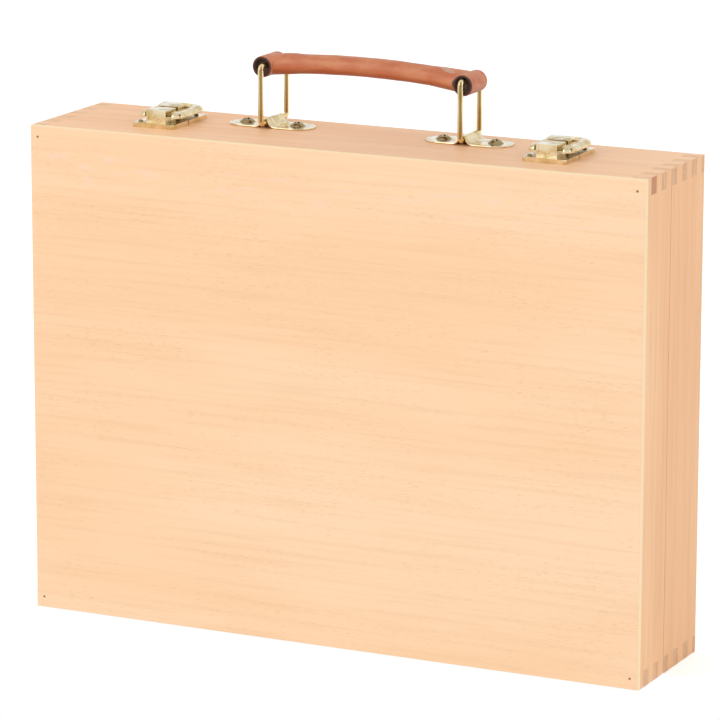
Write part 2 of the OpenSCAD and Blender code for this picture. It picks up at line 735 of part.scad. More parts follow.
module handle_plate(x)
    color("khaki") translate([x, handle_y, box_h]) difference() {
        bore_r = wire_d / 2 + wire_clearance;
        under = sheet_face(handle_sheet, bore_r - seat_gap / 2);
        intersection() {
            rotate([90, 0, 0]) linear_extrude(handle_plate_w + 2 * over, center = true)
                polygon(concat(sheet_face(0, bore_r + handle_sheet),
                               [for (i = [len(under) - 1 : -1 : 0]) under[i]]));
            translate([0, 0, -over]) linear_extrude(2 * loop_axis_z + handle_sheet + over) {
                square([handle_plate_l - handle_plate_w, handle_plate_w], center = true);
                for (s = SIDES)
                    translate([s * (handle_plate_l - handle_plate_w) / 2, 0]) circle(d = handle_plate_w);
            }
        }
        translate([0, 0, loop_axis_z]) roll(bore_r, handle_plate_w + 4 * over);
        for (s = SIDES) translate([s * handle_screw_x, 0, -over])
            cylinder(r = handle_screw_r, h = handle_sheet + 2 * over);
    }

module left_handle_plate() handle_plate(left_loop_x);
module right_handle_plate() handle_plate(right_loop_x);

module handle_screws()
    color("goldenrod") at_handle_screws() translate([0, 0, handle_sheet])
        round_screw(handle_head_r, handle_head_h, handle_screw_r, handle_sheet + handle_screw_l);

// A closed loop of wire, upright in the YZ plane
module handle_loop(x, y, width)
    color("gold") translate([x, y, loop_low_z]) {
        for (z = [0, loop_h]) translate([0, 0, z]) rotate([90, 0, 0])
            cylinder(d = wire_d, h = width - 2 * loop_bend_r, center = true);
        for (s = SIDES)
            translate([0, s * width / 2, loop_bend_r]) cylinder(d = wire_d, h = loop_h - 2 * loop_bend_r);
        for (s = SIDES, top = [0, 1])
            translate([0, s * (width / 2 - loop_bend_r), top > 0 ? loop_h - loop_bend_r : loop_bend_r])
                rotate([90, 0, 90]) rotate([0, 0, top > 0 ? (s > 0 ? 0 : 90) : (s > 0 ? 270 : 180)])
                    rotate_extrude(angle = 90) translate([loop_bend_r, 0]) circle(d = wire_d);
    }

module left_handle_loop() handle_loop(left_loop_x, handle_y + left_loop_back, left_loop_w);
module right_handle_loop() handle_loop(right_loop_x, handle_y, right_loop_w);

module grip_arc(r)
    translate([grip_centre[0], handle_y, grip_centre[1]]) rotate([90, 0, 0]) rotate([0, 0, right_end_angle])
        rotate_extrude(angle = left_end_angle - right_end_angle, $fn = 128)
            translate([grip_arc_r, 0]) circle(r = r, $fn = 32);

module at_grip_end(side)
    translate([side < 0 ? left_end_x : right_end_x, handle_y, side < 0 ? left_end_z : right_end_z])
        children();

module roll(r, l) rotate([90, 0, 0]) cylinder(r = r, h = l, center = true);

// The body's section at a share of the way from the left end to the right, as a thin disc
module grip_disc(share)
    translate([grip_centre[0], handle_y, grip_centre[1]]) rotate([90, 0, 0])
        rotate([0, 0, left_end_angle + share * (right_end_angle - left_end_angle)])
            translate([grip_arc_r, 0, 0]) rotate([90, 0, 0]) scale([1, grip_half_w / grip_r, 1])
                cylinder(r = grip_r, h = grip_disc_t, center = true);

module grip_cover()
    color("sienna") difference() {
        union() {
            for (side = SIDES) hull($fn = 32) {
                at_grip_end(side) roll(grip_end_r, grip_end_l);
                grip_disc(side < 0 ? flare : 1 - flare);
            }
            for (i = [1 : grip_steps]) hull($fn = 32)
                for (j = [i - 1, i]) grip_disc(flare + (1 - 2 * flare) * j / grip_steps);
        }
        for (side = SIDES) at_grip_end(side) roll(roll_bore_r, grip_end_l + 2 * over);
        grip_arc(grip_r - leather_t);
    }

module grip_core()
    color("sienna") difference() {
        grip_arc(grip_r - leather_t - seat_gap);
        for (side = SIDES) at_grip_end(side) roll(roll_bore_r + seat_gap, grip_end_l);
    }

// A bush in a rolled end, bored where the loop wire runs
module grip_bush(side, bore_r)
    color("saddlebrown") difference() {
        at_grip_end(side) roll(roll_bore_r - seat_gap / 2, bush_l);
        translate([side < 0 ? left_loop_x : right_loop_x, handle_y, loop_top_z])
            roll(bore_r, bush_l + 2 * over);
    }

module left_grip_bush() grip_bush(-1, wire_d / 2 + wire_clearance);
module right_grip_bush() grip_bush(1, wire_d / 2 + wire_clearance);

front_panel();
panel_brads();
lid_top_board();
lid_bottom_board();
lid_left_board();
lid_right_board();
base_top_board();
base_bottom_board();
base_left_board();
base_right_board();
back_panel();
upper_slat();
lower_slat();
left_cross_slat();
right_cross_slat();
left_hinge_lid_leaf();
right_hinge_lid_leaf();
left_hinge_base_leaf();
right_hinge_base_leaf();
left_hinge_pin();
right_hinge_pin();
lid_hinge_screws();
base_hinge_screws();
left_latch_plate();
right_latch_plate();
left_latch_pin();
right_latch_pin();
left_latch_lever();
right_latch_lever();
left_catch_plate();
right_catch_plate();
lid_latch_screws();
base_latch_screws();
left_handle_plate();
right_handle_plate();
handle_screws();
left_handle_loop();
right_handle_loop();
grip_cover();
grip_core();
left_grip_bush();
right_grip_bush();
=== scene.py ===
import json
import math

import bpy
import numpy as np
from mathutils import Matrix, Vector


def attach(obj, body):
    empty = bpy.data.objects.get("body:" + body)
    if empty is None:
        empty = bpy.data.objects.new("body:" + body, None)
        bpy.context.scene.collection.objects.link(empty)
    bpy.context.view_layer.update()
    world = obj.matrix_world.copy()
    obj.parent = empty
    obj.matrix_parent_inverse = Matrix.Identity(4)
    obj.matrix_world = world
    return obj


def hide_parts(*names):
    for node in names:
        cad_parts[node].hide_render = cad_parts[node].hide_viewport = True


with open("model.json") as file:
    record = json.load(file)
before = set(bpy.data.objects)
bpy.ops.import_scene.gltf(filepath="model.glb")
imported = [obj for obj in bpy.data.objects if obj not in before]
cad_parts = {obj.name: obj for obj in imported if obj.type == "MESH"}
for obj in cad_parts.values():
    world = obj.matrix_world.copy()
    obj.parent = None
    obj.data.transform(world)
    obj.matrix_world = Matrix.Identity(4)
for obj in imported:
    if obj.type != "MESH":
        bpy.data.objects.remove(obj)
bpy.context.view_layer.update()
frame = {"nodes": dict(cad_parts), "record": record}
nodes = frame["nodes"]
mm = 0.001
print("frame loaded:", len(nodes), "nodes")


def linear(r, g, b):  # a colour picked, 0 to 255, as the shaders want it
    steps = [c / 255 for c in (r, g, b)]
    return [c / 12.92 if c < 0.04045 else ((c + 0.055) / 1.055) ** 2.4 for c in steps] + [1]


def only(piece):
    bpy.ops.object.select_all(action="DESELECT")
    piece.select_set(True)
    bpy.context.view_layer.objects.active = piece


# Camera and light

camera = {"place": (1.0791, -2.2355, 0.7363), "right": (0.90027, 0.43533, 0.00189),
          "ahead": (-0.42362, 0.87704, -0.22663), "lens": 224.2}
view = bpy.data.objects.new("view", bpy.data.cameras.new("view"))
bpy.context.scene.collection.objects.link(view)
right = Vector(camera["right"]).normalized()
ahead = Vector(camera["ahead"]).normalized()
up = right.cross(ahead).normalized()
right = ahead.cross(up)
view.matrix_world = Matrix((
    (right.x, up.x, -ahead.x, camera["place"][0]),
    (right.y, up.y, -ahead.y, camera["place"][1]),
    (right.z, up.z, -ahead.z, camera["place"][2]),
    (0, 0, 0, 1)))
view.data.lens = camera["lens"]
view.data.sensor_width = 36
view.data.clip_end = 30
bpy.context.scene.camera = view
bpy.context.scene.view_settings.view_transform = "Standard"

lamps = {
    "keyLamp": {"place": (-1.1, -2.3, 1.9), "size": 1.6, "power": 17},
    "sideLamp": {"place": (2.6, 0.4, 1.2), "size": 1.6, "power": 5},
}
target = Vector((0, 0, 0.15))
for name, lamp in lamps.items():
    data = bpy.data.lights.new(name, "AREA")
    data.size = lamp["size"]
    data.energy = lamp["power"]
    piece = bpy.data.objects.new(name, data)
    bpy.context.scene.collection.objects.link(piece)
    piece.location = lamp["place"]
    piece.rotation_euler = (target - piece.location).to_track_quat("-Z", "Y").to_euler()


def place(tree, kind, at, **values):  # adds a node; values are its sockets by name, or its settings
    node = tree.nodes.new(kind)
    node.location = at
    for key, value in values.items():
        if hasattr(node, key) and key not in node.inputs:
            setattr(node, key, value)
        else:
            node.inputs[key.replace("_", " ")].default_value = value
    return node


def maths(tree, operation, at, a, b=None, clamp=False):
    node = place(tree, "ShaderNodeMath", at, operation=operation, use_clamp=clamp)
    for socket, value in zip(node.inputs, (a, b)):
        if isinstance(value, (int, float)):
            socket.default_value = value
        elif value is not None:
            tree.links.new(value, socket)
    return node.outputs[0]


def ramp(tree, at, value, low, high, smooth=True):  # 0 below low, 1 above high
    node = place(tree, "ShaderNodeMapRange", at, interpolation_type="SMOOTHSTEP" if smooth else "LINEAR")
    node.inputs["From Min"].default_value = low
    node.inputs["From Max"].default_value = high
    tree.links.new(value, node.inputs["Value"])
    return node.outputs["Result"]


def mixColor(tree, at, factor, a, b, blend="MIX"):
    node = place(tree, "ShaderNodeMix", at, data_type="RGBA", blend_type=blend)
    for socket, value in zip((node.inputs[0], node.inputs[6], node.inputs[7]), (factor, a, b)):
        if isinstance(value, (int, float, list, tuple)):
            socket.default_value = value
        else:
            tree.links.new(value, socket)
    return node.outputs[2]


def stretched(tree, at, vector, scale, shift=(0, 0, 0)):
    node = place(tree, "ShaderNodeMapping", at)
    node.inputs["Scale"].default_value = scale
    node.inputs["Location"].default_value = shift
    tree.links.new(vector, node.inputs["Vector"])
    return node.outputs[0]


def noise(tree, at, vector, scale, detail=2, roughness=0.5):
    node = place(tree, "ShaderNodeTexNoise", at)
    node.inputs["Scale"].default_value = scale
    node.inputs["Detail"].default_value = detail
    node.inputs["Roughness"].default_value = roughness
    tree.links.new(vector, node.inputs["Vector"])
    return node.outputs[0]


def stretchedNoise(tree, at, vector, scale, detail, roughness):
    return noise(tree, at, stretched(tree, (at[0] - 200, at[1]), vector, scale), 1.0, detail, roughness)


world = bpy.data.worlds.new("studio")
bpy.context.scene.world = world
world.use_nodes = True
sky = world.node_tree
sky.nodes.clear()
skyOut = place(sky, "ShaderNodeOutputWorld", (900, 0))
studio = {"ambient": 0.93, "seen": 1.0, "zenith": (0.83, 0.82, 0.81, 1), "horizon": (1, 1, 1, 1)}
skyCoords = place(sky, "ShaderNodeTexCoord", (-600, 0))
skySplit = place(sky, "ShaderNodeSeparateXYZ", (-400, 0))
sky.links.new(skyCoords.outputs["Generated"], skySplit.inputs[0])
height = ramp(sky, (-200, 0), skySplit.outputs["Z"], 0.1, 1.0)
skyColor = mixColor(sky, (0, 0), height, studio["horizon"], studio["zenith"])
ambient = place(sky, "ShaderNodeBackground", (250, -100), Strength=studio["ambient"])
sky.links.new(skyColor, ambient.inputs["Color"])
seen = place(sky, "ShaderNodeBackground", (250, 100), Color=(1, 1, 1, 1), Strength=studio["seen"])
rays = place(sky, "ShaderNodeLightPath", (0, 400))
skyMix = place(sky, "ShaderNodeMixShader", (600, 0))
sky.links.new(rays.outputs["Is Camera Ray"], skyMix.inputs[0])
sky.links.new(ambient.outputs[0], skyMix.inputs[1])
sky.links.new(seen.outputs[0], skyMix.inputs[2])
sky.links.new(skyMix.outputs[0], skyOut.inputs["Surface"])

bpy.ops.object.select_all(action="DESELECT")
# the box is shown standing, so the floor starts under the seam and leaves room for the lid to swing down
bpy.ops.mesh.primitive_plane_add(size=12, location=(0, 5.994, -0.0002))
floor = bpy.context.object
floor.name = "floor"
paper = bpy.data.materials.new("whitePaper")
paper.use_nodes = True
tree = paper.node_tree
tree.nodes.clear()
out = place(tree, "ShaderNodeOutputMaterial", (600, 0))
sheet = place(tree, "ShaderNodeBsdfDiffuse", (0, 0), Color=(0.86, 0.86, 0.86, 1))
lift = place(tree, "ShaderNodeEmission", (0, -200), Color=(1, 1, 1, 1))
rays = place(tree, "ShaderNodeLightPath", (-500, -200))
shown = maths(tree, "MAXIMUM", (-300, -200), rays.outputs["Is Camera Ray"], rays.outputs["Is Glossy Ray"])
tree.links.new(maths(tree, "MULTIPLY", (-150, -250), shown, 0.42), lift.inputs["Strength"])
both = place(tree, "ShaderNodeAddShader", (300, 0))
tree.links.new(sheet.outputs[0], both.inputs[0])
tree.links.new(lift.outputs[0], both.inputs[1])
tree.links.new(both.outputs[0], out.inputs["Surface"])
floor.data.materials.append(paper)
print("studio ready")


# Shared effects

def newGroup(name, inputs, outputs):
    group = bpy.data.node_groups.new(name, "ShaderNodeTree")
    for label, kind, value in inputs:
        socket = group.interface.new_socket(label, in_out="INPUT", socket_type=kind)
        if value is not None:
            socket.default_value = value
    for label, kind in outputs:
        group.interface.new_socket(label, in_out="OUTPUT", socket_type=kind)
    start = group.nodes.new("NodeGroupInput")
    start.location = (-1400, 0)
    end = group.nodes.new("NodeGroupOutput")
    end.location = (1200, 0)
    return group, start.outputs, end.inputs


color, value, vector = "NodeSocketColor", "NodeSocketFloat", "NodeSocketVector"

# Beech: long streaks along X, short dark ray flecks, and a slow change of tone
beechFigure, gin, gout = newGroup(
    "beechFigure",
    [("Along", vector, None), ("Light", color, linear(255, 222, 184)), ("Base", color, linear(248, 205, 163)),
     ("Fleck", color, linear(176, 120, 78)), ("Fleck Amount", value, 0.5), ("Fleck Limit", value, 0.62),
     ("Streaks", value, 0.5)],
    [("Color", color), ("Height", value), ("Roughness", value)])
tree = beechFigure
slow = stretchedNoise(tree, (-900, 500), gin["Along"], (3, 16, 16), 3, 0.5)
streak = stretchedNoise(tree, (-900, 250), gin["Along"], (9, 330, 330), 4, 0.62)
flecks = stretchedNoise(tree, (-900, 0), gin["Along"], (240, 2300, 2300), 1, 0.4)
patches = stretchedNoise(tree, (-900, -250), gin["Along"], (14, 45, 45), 2, 0.5)
body = mixColor(tree, (-400, 400), ramp(tree, (-600, 500), slow, 0.34, 0.68), gin["Base"], gin["Light"])
streakMask = maths(tree, "MULTIPLY", (-400, 200), ramp(tree, (-600, 250), streak, 0.42, 0.72), gin["Streaks"])
body = mixColor(tree, (-100, 400), streakMask, body, linear(226, 176, 130))
fleckCut = place(tree, "ShaderNodeMapRange", (-500, 0), interpolation_type="SMOOTHSTEP")
tree.links.new(flecks, fleckCut.inputs["Value"])
tree.links.new(gin["Fleck Limit"], fleckCut.inputs["From Min"])
tree.links.new(maths(tree, "ADD", (-700, -100), gin["Fleck Limit"], 0.1), fleckCut.inputs["From Max"])
fleckMask = maths(tree, "MULTIPLY", (-250, 0), fleckCut.outputs["Result"], gin["Fleck Amount"])
fleckMask = maths(tree, "MULTIPLY", (-100, -100), fleckMask, ramp(tree, (-600, -250), patches, 0.3, 0.62))
tree.links.new(mixColor(tree, (200, 200), fleckMask, body, gin["Fleck"]), gout["Color"])
rough = maths(tree, "ADD", (400, -100), maths(tree, "MULTIPLY", (200, -100), streak, 0.18), 0.36)
tree.links.new(rough, gout["Roughness"])
raised = maths(tree, "MULTIPLY", (200, -300), streak, 0.6)
grainHeight = maths(tree, "SUBTRACT", (400, -300), raised, fleckMask)
tree.links.new(grainHeight, gout["Height"])

# End grain: fine pores in rows, darker and redder than the faces
endFigure, gin, gout = newGroup(
    "endFigure",
    [("Along", vector, None), ("Base", color, linear(206, 155, 112)), ("Dark", color, linear(168, 110, 74))],
    [("Color", color), ("Height", value)])
tree = endFigure
rings = stretchedNoise(tree, (-900, 200), gin["Along"], (120, 420, 90), 3, 0.55)
pores = noise(tree, (-900, -100), gin["Along"], 1900, 2, 0.5)
tone = mixColor(tree, (-300, 200), ramp(tree, (-600, 200), rings, 0.35, 0.68), gin["Base"], gin["Dark"])
dots = maths(tree, "MULTIPLY", (-300, -100), ramp(tree, (-600, -100), pores, 0.55, 0.7), 0.45)
tree.links.new(mixColor(tree, (0, 100), dots, tone, linear(120, 74, 48)), gout["Color"])
tree.links.new(maths(tree, "MULTIPLY", (0, -200), dots, -1.0), gout["Height"])

# Handled metal: soft cloudy tarnish, fine scratches and an uneven polish
handledMetal, gin, gout = newGroup(
    "handledMetal",
    [("Place", vector, None), ("Bright", color, linear(236, 222, 184)),
     ("Tarnish", color, linear(190, 160, 104)), ("Roughness", value, 0.2), ("Spread", value, 0.12)],
    [("Color", color), ("Roughness", value), ("Height", value)])
tree = handledMetal
clouds = noise(tree, (-900, 300), gin["Place"], 160, 3, 0.6)
scratches = stretchedNoise(tree, (-900, 0), gin["Place"], (300, 2600, 2600), 2, 0.5)
ripple = noise(tree, (-900, -300), gin["Place"], 520, 1, 0.4)
cloudy = ramp(tree, (-600, 300), clouds, 0.38, 0.7)
tree.links.new(mixColor(tree, (-200, 300), cloudy, gin["Bright"], gin["Tarnish"]), gout["Color"])
uneven = maths(tree, "MULTIPLY", (-400, 0), maths(tree, "ADD", (-600, 0), cloudy, scratches), gin["Spread"])
tree.links.new(maths(tree, "ADD", (-200, 0), uneven, gin["Roughness"]), gout["Roughness"])
tree.links.new(maths(tree, "ADD", (-200, -250), maths(tree, "MULTIPLY", (-400, -250), scratches, 0.1),
                             ripple), gout["Height"])
print("shared effects ready")


# Materials

def newMaterial(name):
    material = bpy.data.materials.new(name)
    material.use_nodes = True
    tree = material.node_tree
    tree.nodes.clear()
    out = place(tree, "ShaderNodeOutputMaterial", (1300, 0))
    bsdf = place(tree, "ShaderNodeBsdfPrincipled", (1000, 0))
    tree.links.new(bsdf.outputs[0], out.inputs["Surface"])
    coords = place(tree, "ShaderNodeTexCoord", (-1600, 0))
    return material, tree, bsdf, coords


def addGroup(tree, group, at, **values):
    node = place(tree, "ShaderNodeGroup", at, node_tree=group)
    for key, item in values.items():
        node.inputs[key.replace("_", " ")].default_value = item
    return node


def bump(tree, at, heightSocket, strength, distance, bsdf):
    node = place(tree, "ShaderNodeBump", at, Strength=strength, Distance=distance)
    tree.links.new(heightSocket, node.inputs["Height"])
    tree.links.new(node.outputs[0], bsdf.inputs["Normal"])
    return node


def faceMask(tree, coords, axis, low, high):  # 1 where the face looks along axis, either way
    split = place(tree, "ShaderNodeSeparateXYZ", (-1300, -700))
    tree.links.new(coords.outputs["Normal"], split.inputs[0])
    return ramp(tree, (-900, -700), maths(tree, "ABSOLUTE", (-1100, -700), split.outputs[axis]), low, high)


def boardMaterial(name, look):
    material, tree, bsdf, coords = newMaterial(name)
    split = place(tree, "ShaderNodeSeparateXYZ", (-1400, 200))
    tree.links.new(coords.outputs["Object"], split.inputs[0])
    along = place(tree, "ShaderNodeCombineXYZ", (-1200, 200))
    order = "XYZ" if look["grain"] == "X" else "ZYX"
    for socket, axis in zip(along.inputs, order):
        tree.links.new(split.outputs[axis], socket)
    moved = stretched(tree, (-1000, 200), along.outputs[0], (1, 1, 1), look["shift"])
    figure = addGroup(tree, beechFigure, (-700, 300), Light=linear(*look["light"]),
                      Base=linear(*look["base"]), Fleck=linear(*look["fleck"]), Fleck_Amount=look["flecks"],
                      Fleck_Limit=look["limit"], Streaks=look["streaks"])
    tree.links.new(moved, figure.inputs["Along"])
    ends = addGroup(tree, endFigure, (-700, -200), Base=linear(*look["end"]), Dark=linear(*look["endDark"]))
    tree.links.new(moved, ends.inputs["Along"])
    mask = faceMask(tree, coords, look["grain"], 0.6, 0.9)
    surface = mixColor(tree, (-300, 200), mask, figure.outputs["Color"], ends.outputs["Color"])
    if "edge" in look:  # the thin edge of the plywood and the rounded arris beside it: partly the ply's own paler colour, partly a painted highlight where the arris catches the light
        edge = maths(tree, "MAXIMUM", (-300, -900), faceMask(tree, coords, "X", 0.45, 0.8),
                     faceMask(tree, coords, "Z", 0.45, 0.8))
        surface = mixColor(tree, (0, 200), edge, figure.outputs["Color"], linear(*look["edge"]))
        mask = edge
    if "stain" in look:
        surface = look["stain"](tree, surface, split)
    tree.links.new(surface, bsdf.inputs["Base Color"])
    tree.links.new(figure.outputs["Roughness"], bsdf.inputs["Roughness"])
    bsdf.inputs["Specular IOR Level"].default_value = 0.35
    heights = mixColor(tree, (300, -300), mask, figure.outputs["Height"], ends.outputs["Height"])
    bump(tree, (700, -300), heights, 0.25, 0.0004, bsdf)
    return material


def plankTones(tree, surface, split):  # the top's tone drifts from board to board along X
    drift = ramp(tree, (-500, 700), split.outputs["X"], -0.05, 0.07)
    back = ramp(tree, (-500, 500), split.outputs["X"], 0.12, 0.19)
    dip = maths(tree, "SUBTRACT", (-300, 600), drift, back, clamp=True)
    surface = mixColor(tree, (200, 500), maths(tree, "MULTIPLY", (0, 600), dip, 0.45), surface,
                       linear(236, 184, 140))
    # the front finger at the top of each side has a redder end than the others
    side = ramp(tree, (-300, 900), maths(tree, "ABSOLUTE", (-500, 900), split.outputs["X"]), 0.1896, 0.1899)
    front = ramp(tree, (-300, 1100), split.outputs["Y"], -0.0274, -0.0276)
    upper = ramp(tree, (-300, 1300), split.outputs["Z"], 0.1, 0.2)
    first = maths(tree, "MULTIPLY", (-100, 900), side, front)
    first = maths(tree, "MULTIPLY", (0, 900), first, upper)
    return mixColor(tree, (400, 500), maths(tree, "MULTIPLY", (200, 900), first, 0.85), surface,
                    linear(192, 126, 88))


def rubbedPatches(tree, surface, split):  # pale rubbed places below the panel's top edge
    spots = place(tree, "ShaderNodeTexNoise", (-500, 800))
    spots.inputs["Scale"].default_value = 1.0
    spots.inputs["Detail"].default_value = 3
    spread = place(tree, "ShaderNodeCombineXYZ", (-700, 800))
    tree.links.new(maths(tree, "MULTIPLY", (-900, 800), split.outputs["X"], 55), spread.inputs[0])
    tree.links.new(maths(tree, "MULTIPLY", (-900, 700), split.outputs["Z"], 260), spread.inputs[2])
    tree.links.new(spread.outputs[0], spots.inputs["Vector"])
    band = maths(tree, "MULTIPLY", (-500, 600), ramp(tree, (-700, 600), split.outputs["Z"], 0.246, 0.262),
                 ramp(tree, (-700, 500), split.outputs["Z"], 0.280, 0.270))
    mask = maths(tree, "MULTIPLY", (-300, 700), ramp(tree, (-400, 800), spots.outputs[0], 0.56, 0.64), band)
    return mixColor(tree, (200, 600), maths(tree, "MULTIPLY", (0, 700), mask, 0.5), surface,
                    linear(255, 214, 190))


boardLooks = {
    "panelBeech": {"grain": "X", "shift": (0.31, 0.2, 0.11),
                   "light": (255, 217, 178), "base": (253, 208, 165),
                   "fleck": (220, 164, 118), "flecks": 0.26, "limit": 0.60, "streaks": 0.22,
                   # the edge tint is the ply's paler colour with a painted highlight on the arris
                   "end": (214, 165, 122), "endDark": (186, 132, 92), "edge": (255, 228, 184),
                   "stain": rubbedPatches},
    "levelBeech": {"grain": "X", "shift": (0.05, 0.77, 0.4),
                   "light": (255, 210, 168), "base": (254, 200, 153),
                   "fleck": (208, 154, 112), "flecks": 0.25, "limit": 0.62, "streaks": 0.40,
                   "end": (232, 184, 140), "endDark": (214, 163, 120), "stain": plankTones},
    # the upright copy of the beech is darker and more saturated than the level one: partly the boards' own
    # tone, partly painted shade for the sides that face away from the light
    "uprightBeech": {"grain": "Z", "shift": (0.9, 0.15, 0.63),
                     "light": (251, 200, 152), "base": (244, 188, 138),
                     "fleck": (210, 154, 108), "flecks": 0.25, "limit": 0.62, "streaks": 0.5,
                     "end": (246, 200, 156), "endDark": (234, 186, 142)},
    "slatBeech": {"grain": "X", "shift": (0.4, 0.52, 0.27),
                  "light": (250, 216, 180), "base": (240, 200, 160),
                  "fleck": (190, 136, 92), "flecks": 0.5, "limit": 0.62, "streaks": 0.6,
                  "end": (214, 165, 122), "endDark": (184, 130, 92)},
}
boards = {name: boardMaterial(name, look) for name, look in boardLooks.items()}


def metalMaterial(name, look):
    material, tree, bsdf, coords = newMaterial(name)
    metal = addGroup(tree, handledMetal, (-600, 200), Bright=linear(*look["bright"]),
                     Tarnish=linear(*look["tarnish"]), Roughness=look["roughness"], Spread=look["spread"])
    tree.links.new(coords.outputs["Object"], metal.inputs["Place"])
    flat = place(tree, "ShaderNodeSeparateXYZ", (-1300, -700))
    tree.links.new(coords.outputs["Normal"], flat.inputs[0])
    # painted reflection: faces that do not look straight up take a darker, yellower tint, by the given amount
    sideFacingMask = ramp(tree, (-900, -700), flat.outputs["Z"], 0.985, 0.80)
    tint = mixColor(tree, (0, 200), maths(tree, "MULTIPLY", (-300, -500), sideFacingMask, look["paintedSideReflection"]),
                    metal.outputs["Color"], linear(*look["rim"]))
    if look["core"]:  # painted reflection: where a bright wire faces the viewer its middle is darkened, as if it mirrored a dark room
        glance = place(tree, "ShaderNodeLayerWeight", (-300, -900))
        middle = ramp(tree, (-100, -900), glance.outputs["Facing"], 0.20, 0.05)
        tint = mixColor(tree, (300, 200), maths(tree, "MULTIPLY", (100, -900), middle, look["core"]), tint,
                        linear(110, 76, 34))
    tree.links.new(tint, bsdf.inputs["Base Color"])
    bsdf.inputs["Metallic"].default_value = 1
    tree.links.new(metal.outputs["Roughness"], bsdf.inputs["Roughness"])
    bump(tree, (600, -300), metal.outputs["Height"], look["bump"], 0.0003, bsdf)
    return material


# the rim tint and its amount are a painted reflection on faces that do not look straight up; core is a
# painted reflection darkening a wire's middle
metalLooks = {
    "pressedBrass": {"bright": (248, 240, 220), "tarnish": (196, 178, 130), "rim": (232, 204, 140),
                     "paintedSideReflection": 0.5, "core": 0, "roughness": 0.12, "spread": 0.10, "bump": 0.16},
    "wireBrass": {"bright": (250, 232, 184), "tarnish": (214, 182, 112), "rim": (246, 224, 168),
                  "paintedSideReflection": 0.5, "core": 0.75, "roughness": 0.14, "spread": 0.08, "bump": 0.12},
    "screwBrass": {"bright": (206, 194, 156), "tarnish": (132, 114, 76), "rim": (160, 140, 94),
                   "paintedSideReflection": 0.7, "core": 0, "roughness": 0.13, "spread": 0.12, "bump": 0.15},
    "hingeBrass": {"bright": (236, 214, 160), "tarnish": (200, 170, 108), "rim": (226, 196, 130),
                   "paintedSideReflection": 0.6, "core": 0, "roughness": 0.2, "spread": 0.12, "bump": 0.15},
    "darkSteel": {"bright": (176, 140, 112), "tarnish": (140, 104, 80), "rim": (150, 116, 92),
                  "paintedSideReflection": 0.5, "core": 0, "roughness": 0.4, "spread": 0.2, "bump": 0.3},
}
metals = {name: metalMaterial(name, look) for name, look in metalLooks.items()}

# Leather of the grip: terracotta, with painted shade on the faces that look down, raw inside the rolls and on
# the left cut edge
gripLook = {"base": (194, 108, 70), "light": (208, 134, 92), "under": (156, 74, 42), "raw": (112, 86, 74),
            "cut": (78, 56, 54), "slitAndGlint": (205, 186, 170), "slitAt": (46.5 * mm, 326.5 * mm),
            "leftRoll": (-66.6 * mm, 321.2 * mm), "rightRoll": (58.6 * mm, 319.8 * mm), "bore": 4.95 * mm}
leather, tree, bsdf, coords = newMaterial("gripLeather")
split = place(tree, "ShaderNodeSeparateXYZ", (-1400, 200))
tree.links.new(coords.outputs["Object"], split.inputs[0])
facing = place(tree, "ShaderNodeSeparateXYZ", (-1400, -200))
tree.links.new(coords.outputs["Normal"], facing.inputs[0])
mottle = stretchedNoise(tree, (-1000, 600), coords.outputs["Object"], (60, 160, 160), 3, 0.55)
pebble = place(tree, "ShaderNodeTexVoronoi", (-1000, 900), Scale=1500.0)
tree.links.new(coords.outputs["Object"], pebble.inputs["Vector"])
creases = stretchedNoise(tree, (-1000, 1150), coords.outputs["Object"], (350, 900, 900), 3, 0.6)
skin = mixColor(tree, (-500, 500), ramp(tree, (-750, 600), mottle, 0.36, 0.68), linear(*gripLook["base"]),
                linear(*gripLook["light"]))
# painted shade: faces that look down get a darker, redder leather colour
below = ramp(tree, (-900, -200), facing.outputs["Z"], -0.1, -0.85)
skin = mixColor(tree, (-250, 400), maths(tree, "MULTIPLY", (-500, -100), below, 0.8), skin,
                linear(*gripLook["under"]))


def ringDistance(tree, at, centre):  # distance from the axis of a rolled end
    dx = maths(tree, "SUBTRACT", at, split.outputs["X"], centre[0])
    dz = maths(tree, "SUBTRACT", at, split.outputs["Z"], centre[1])
    squares = maths(tree, "ADD", at, maths(tree, "MULTIPLY", at, dx, dx), maths(tree, "MULTIPLY", at, dz, dz))
    return maths(tree, "SQRT", at, squares)


leftFar = ringDistance(tree, (-1100, -500), gripLook["leftRoll"])
rightFar = ringDistance(tree, (-1100, -800), gripLook["rightRoll"])
boreEdge = gripLook["bore"] + 0.25 * mm
inside = maths(tree, "MAXIMUM", (-500, -600), ramp(tree, (-800, -500), leftFar, boreEdge, gripLook["bore"]),
               ramp(tree, (-800, -800), rightFar, boreEdge, gripLook["bore"]))
nearRoll = maths(tree, "MAXIMUM", (-650, -1000), ramp(tree, (-800, -1000), leftFar, 6.9 * mm, 6.2 * mm),
                 ramp(tree, (-800, -1100), rightFar, 7.1 * mm, 6.3 * mm))
sideways = maths(tree, "ABSOLUTE", (-1000, -1200), facing.outputs["Y"])
cutFace = maths(tree, "MULTIPLY", (-500, -1000), nearRoll, ramp(tree, (-800, -1200), sideways, 0.55, 0.85))
skin = mixColor(tree, (0, 300), cutFace, skin, linear(*gripLook["cut"]))
skin = mixColor(tree, (200, 300), inside, skin, linear(*gripLook["raw"]))
